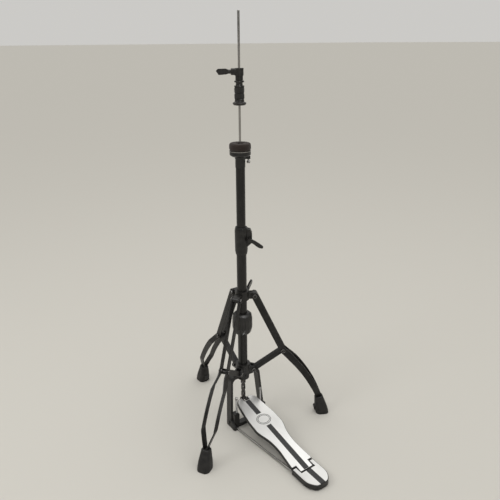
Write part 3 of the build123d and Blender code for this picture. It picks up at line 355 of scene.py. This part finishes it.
def flute(piece, low, high, depth):
    """Sinks a flute into each upright face of the piece that lies between two heights."""
    bpy.ops.mesh.select_all(action="DESELECT")
    bpy.ops.object.mode_set(mode="OBJECT")
    for face in piece.data.polygons:
        place = piece.matrix_world @ face.center
        face.select = low < place.z < high and abs(face.normal.z) < 0.1
    bpy.ops.object.mode_set(mode="EDIT")
    bpy.ops.mesh.inset(thickness=depth * 0.6, depth=-depth, use_individual=True)


def thread(radius, low, high, pitch, depth):
    """The profile of a screw thread between two heights, its ridges standing at radius."""
    turns = round((high - low) / pitch)
    profile = []
    for turn in range(turns):
        foot = low + turn * (high - low) / turns
        profile += [(radius - depth, foot), (radius, foot + pitch * 0.5)]
    return profile + [(radius - depth, high)]


# The spurs are turned from round bar: a ground point, a coarse thread and a knurled head.
SPUR_R, SPUR_POINT, SPUR_HEAD_R, SPUR_HEAD = 0.003, 0.007, 0.0039, 0.009
SPUR_PITCH, SPUR_THREAD, KNURL = 0.00125, 0.0004, 0.0003
for node in ("spur_left", "spur_right"):
    low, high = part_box(node)
    neck = high.z - SPUR_HEAD
    profile = [(0.0004, low.z), (SPUR_R - 0.0004, low.z + SPUR_POINT)]
    profile += thread(SPUR_R, low.z + SPUR_POINT + 0.0005, neck - 0.001, SPUR_PITCH, SPUR_THREAD)
    profile += [(SPUR_HEAD_R - 0.0005, neck), (SPUR_HEAD_R, neck + 0.0006)]
    profile += [(SPUR_HEAD_R, high.z - 0.0008), (SPUR_HEAD_R - 0.0008, high.z)]
    spur = turned(node + "_thread", (low.x + high.x) / 2, (low.y + high.y) / 2, profile, 24)
    flute(spur, neck + 0.0006, high.z - 0.0008, KNURL)
    close_ends(spur, zinc)
    bpy.ops.object.shade_smooth_by_angle(angle=radians(25))
    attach(spur, node)
    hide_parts(node)

# ------------------------------------------------------------ heel and footboard
# Black castings with bright covers on top. The covers are nickel plated over a grain brushed
# along the board, and a rough black strip is let into their middle.
eased("heel_block", 0.0012, cast_black, wear_and_painted_highlight)
eased("footboard", 0.0010, cast_black, wear_and_painted_highlight)
eased("toe_bracket", 0.0005, blackened, zinc)

brushed_plate = new_finish("brushed_plate", (0.72, 0.72, 0.71), 0.3, metallic=1.0)
brushing = pattern(brushed_plate, 1500, stretch=(1, 60, 1), detail=2.0)
relief_from(brushed_plate, brushing, 0.00002, 0.45)
clouds = pattern(brushed_plate, 14, stretch=(1, 2, 1))
colour_from(brushed_plate, clouds, (0.74, 0.74, 0.73), (0.84, 0.84, 0.83))
roughness_from(brushed_plate, brushing, 0.34, 0.44)
eased("heel_plate", 0.0006, brushed_plate)
eased("footboard_plate", 0.0006, brushed_plate)

# Two plain oval outlines, one in the other, are printed between the two runs of the strip.
BOARD_SLOPE, BOARD_TOP, BADGE_OUT = 10.75, 0.019, 0.197
BADGE_LINE, INK_THICKNESS = 0.0015, 0.00012
BADGE_LINES = (("outer", 0.0235, 0.0195), ("inner", 0.0195, 0.0155))
low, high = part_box("hinge_pin")
hinge_y = (low.y + high.y) / 2
badge_ink = new_finish("badge_ink", (0.015, 0.015, 0.016), 0.6, shine=0.2)
roughness_from(badge_ink, pattern(badge_ink, 700), 0.52, 0.68)
for name, half_width, half_length in BADGE_LINES:
    bpy.ops.object.select_all(action="DESELECT")
    bpy.ops.mesh.primitive_circle_add(vertices=72, radius=1)
    badge = bpy.context.active_object
    badge.name = badge.data.name = f"badge_{name}_line"
    badge.scale = (half_width, half_length, 1)
    bpy.ops.object.transform_apply(location=False, rotation=False, scale=True)
    bpy.ops.object.mode_set(mode="EDIT")
    bpy.ops.mesh.extrude_region_move()
    bpy.ops.transform.resize(
        value=(1 - BADGE_LINE / half_width, 1 - BADGE_LINE / half_length, 1),
        center_override=(0, 0, 0),
    )
    bpy.ops.mesh.select_all(action="SELECT")
    bpy.ops.mesh.normals_make_consistent(inside=False)
    bpy.ops.object.mode_set(mode="OBJECT")
    wall = badge.modifiers.new("ink", "SOLIDIFY")
    wall.thickness = INK_THICKNESS
    wall.offset = 0
    bpy.ops.object.modifier_apply(modifier=wall.name)
    badge.rotation_euler.x = radians(BOARD_SLOPE)
    badge.location = (
        0,
        hinge_y + BADGE_OUT * cos(radians(BOARD_SLOPE)),
        BOARD_TOP + BADGE_OUT * sin(radians(BOARD_SLOPE)),
    )
    bpy.ops.object.transform_apply(location=True, rotation=True, scale=True)
    badge.data.materials.append(badge_ink)
    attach(badge, "footboard")

grip_strip = new_finish("grip_strip", (0.022, 0.022, 0.023), 0.7)
grit = pattern(grip_strip, 2400, detail=2.0)
relief_from(grip_strip, grit, 0.00018, 0.8)
colour_from(grip_strip, pattern(grip_strip, 300), (0.016, 0.016, 0.017), (0.034, 0.034, 0.035))
give(grip_strip, "heel_stripe", "footboard_stripe")

# ------------------------------------------------------------ tilting seat
# The neck on the upper tube, the thumbscrew that tilts the cup, a polished washer, and a
# thick felt that the bottom cymbal lies on.
eased("tilter_neck", 0.0008, cast_black, wear_and_painted_highlight)
eased("seat_cup", 0.0014, cast_black, wear_and_painted_highlight)
give(ground_steel, "seat_washer")
low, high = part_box("tilter_screw")
grip = (high.x - low.x) / 2
profile = [(0.002, low.z), (grip * 0.8, low.z + 0.0006), (grip, low.z + 0.0022)]
profile += [(grip, low.z + 0.0052), (grip * 0.75, low.z + 0.0066)]
profile += thread(0.0025, low.z + 0.0075, high.z - 0.0008, 0.001, 0.0003)
profile += [(0.0015, high.z)]
screw = turned("tilter_thread", (low.x + high.x) / 2, (low.y + high.y) / 2, profile, 28)
flute(screw, low.z + 0.0022, low.z + 0.0052, 0.0004)
close_ends(screw, zinc)
bpy.ops.object.shade_smooth_by_angle(angle=radians(25))
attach(screw, "tilter_screw")
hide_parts("tilter_screw")


def felt_finish(name, dark, light):
    """Pressed wool: short fibres lying every way, paler where they stand up."""
    felt = new_finish(name, dark, 0.95, shine=0.15)
    fibres = pattern(felt, 1500, detail=6.0)
    colour_from(felt, fibres, dark, light, 0.38, 0.72)
    relief_from(felt, fibres, 0.0005, 0.8)
    relief_from(felt, pattern(felt, 260), 0.0006, 0.5)
    felt.node_tree.nodes["Principled BSDF"].inputs["Sheen Weight"].default_value = 0.12
    felt.node_tree.nodes["Principled BSDF"].inputs["Sheen Roughness"].default_value = 0.6
    return felt


RIM_STEPS, RING_SIDES, FUZZ = 40, 120, 0.00018
SIDE_SWELL, FACE_SWELL = 0.42, 0.5


def felt_ring(name, body, y, outer, bore, bottom, top, crown, finish):
    """A thick felt ring: crowned faces, rounded rims, sides that swell, and an uneven surface.

    Its section is a superellipse, squarer as the swells fall from 1 to 0.
    """
    middle, rise = (outer + bore) / 2, (top - bottom) / 2
    profile = []
    for step in range(RIM_STEPS):
        turn = tau * step / RIM_STEPS
        across = copysign(abs(cos(turn)) ** SIDE_SWELL, cos(turn))
        up = copysign(abs(sin(turn)) ** FACE_SWELL, sin(turn))
        radius = middle + across * (outer - bore) / 2
        fullness = 1 - crown * abs(across) ** 2
        profile.append((radius, (bottom + top) / 2 + up * rise * fullness))
    ring = turned(name, 0, y, profile, RING_SIDES)
    bpy.ops.mesh.select_all(action="DESELECT")
    bpy.ops.mesh.select_non_manifold()
    bpy.ops.mesh.bridge_edge_loops()
    bpy.ops.mesh.select_all(action="SELECT")
    bpy.ops.transform.vertex_random(offset=FUZZ, uniform=0, normal=1, seed=len(name))
    bpy.ops.mesh.normals_make_consistent(inside=False)
    bpy.ops.object.mode_set(mode="OBJECT")
    bpy.ops.object.transform_apply(location=True, rotation=True, scale=True)
    bpy.ops.object.shade_smooth()
    ring.data.materials.clear()
    ring.data.materials.append(finish)
    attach(ring, body)
    return ring


brown_felt = felt_finish("brown_felt", (0.014, 0.009, 0.007), (0.050, 0.034, 0.027))
low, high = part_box("seat_felt")
outer = (high.x - low.x) / 2 - 0.0004
seat_felt = felt_ring("seat_pad", "seat", AXIS_Y, outer, 0.0082, low.z, high.z, 0.13, brown_felt)
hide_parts("seat_felt")

# ------------------------------------------------------------ clutch
# A blackened steel body with a split head, two lock nuts, two felts and a flanged nut. A
# paddle on the side screws it tight on the rod.
for node in ("clutch_body", "clutch_nuts", "clutch_bottom"):
    eased(node, 0.0006, cast_black, wear_and_painted_highlight)
eased("clutch_wing", 0.0010, cast_black, wear_and_painted_highlight)

# The two felts between which the top cymbal hangs are a tight grey wool.
grey_felt = felt_finish("grey_felt", (0.012, 0.0115, 0.011), (0.045, 0.043, 0.041))
low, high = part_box("clutch_felts")
outer, gap = (high.x - low.x) / 2 - 0.0004, 0.0004
middle = (low.z + high.z) / 2
for name, bottom, top in (("lower", low.z, middle - gap / 2), ("upper", middle + gap / 2, high.z)):
    pad = felt_ring(
        f"clutch_pad_{name}", "clutch", AXIS_Y, outer, 0.0061, bottom, top, 0.05, grey_felt
    )
    if name == "lower":
        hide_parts("clutch_felts")

# ------------------------------------------------------------ floor, light and camera
# A pale floor under a wide ceiling light, with a window's light from the left. A small lamp in
# front shows in reflections only, and puts the sharp glints on the castings.
FLOOR_SIZE = 600
bpy.ops.object.select_all(action="DESELECT")
bpy.ops.mesh.primitive_plane_add(size=FLOOR_SIZE, location=(0, AXIS_Y, 0))
floor = bpy.context.active_object
floor.name = "floor"
pale_floor = new_finish("pale_floor", (0.565, 0.55, 0.51), 0.8, shine=0.2)
floor.data.materials.append(pale_floor)

# The room is dim at the horizon and bright overhead, and one even tone where it is seen.
HORIZON_LIGHT, OVERHEAD_LIGHT, SEEN_LIGHT = 0.10, 1.08, 0.6
world = bpy.data.worlds.new("room")
bpy.context.scene.world = world
world.use_nodes = True
room, links = world.node_tree.nodes, world.node_tree.links
direction = room.new("ShaderNodeTexCoord")
parts = room.new("ShaderNodeSeparateXYZ")
height = room.new("ShaderNodeMapRange")
height.interpolation_type = "SMOOTHSTEP"
height.inputs["From Min"].default_value = 0.05
height.inputs["From Max"].default_value = 0.75
height.inputs["To Min"].default_value = HORIZON_LIGHT
height.inputs["To Max"].default_value = OVERHEAD_LIGHT
seen = room.new("ShaderNodeLightPath")
shown = room.new("ShaderNodeMix")
shown.data_type = "FLOAT"
shown.inputs["B"].default_value = SEEN_LIGHT
links.new(direction.outputs["Generated"], parts.inputs["Vector"])
links.new(parts.outputs["Z"], height.inputs["Value"])
links.new(height.outputs["Result"], shown.inputs["A"])
links.new(seen.outputs["Is Camera Ray"], shown.inputs["Factor"])
links.new(shown.outputs["Result"], room["Background"].inputs["Strength"])
room["Background"].inputs["Color"].default_value = (1.0, 0.985, 0.95, 1)
bpy.context.scene.view_settings.view_transform = "Standard"


def soft_light(name, place, size, watts):
    """A square light of this many watts that faces the middle of the stand."""
    bpy.ops.object.light_add(type="AREA", location=place)
    light = bpy.context.active_object
    light.name = name
    light.data.size = size
    light.data.energy = watts
    aim = Vector((0, AXIS_Y, 0.5)) - Vector(place)
    light.rotation_euler = aim.to_track_quat("-Z", "Y").to_euler()
    return light


soft_light("ceiling", (0.3, -0.3, 3.4), 2.2, 17)
soft_light("window", (-2.4, 0.2, 2.0), 0.9, 11)
glint = soft_light("lamp", (-0.5, -1.9, 2.4), 0.3, 60)
glint.visible_diffuse = False

CAMERA_PLACE = (-0.816, AXIS_Y - 1.2005, 1.1287)
CAMERA_HEADING, CAMERA_PITCH, CAMERA_ROLL = -35.17, 20.96, -0.41
CAMERA_LENS = 39.2
camera_data = bpy.data.cameras.new("camera")
camera_data.sensor_width = 36
camera_data.lens = CAMERA_LENS
camera = bpy.data.objects.new("camera", camera_data)
bpy.context.scene.collection.objects.link(camera)
camera.matrix_world = (
    Matrix.Translation(CAMERA_PLACE)
    @ Matrix.Rotation(radians(CAMERA_HEADING), 4, "Z")
    @ Matrix.Rotation(radians(90 - CAMERA_PITCH), 4, "X")
    @ Matrix.Rotation(radians(CAMERA_ROLL), 4, "Z")
)
bpy.context.scene.camera = camera
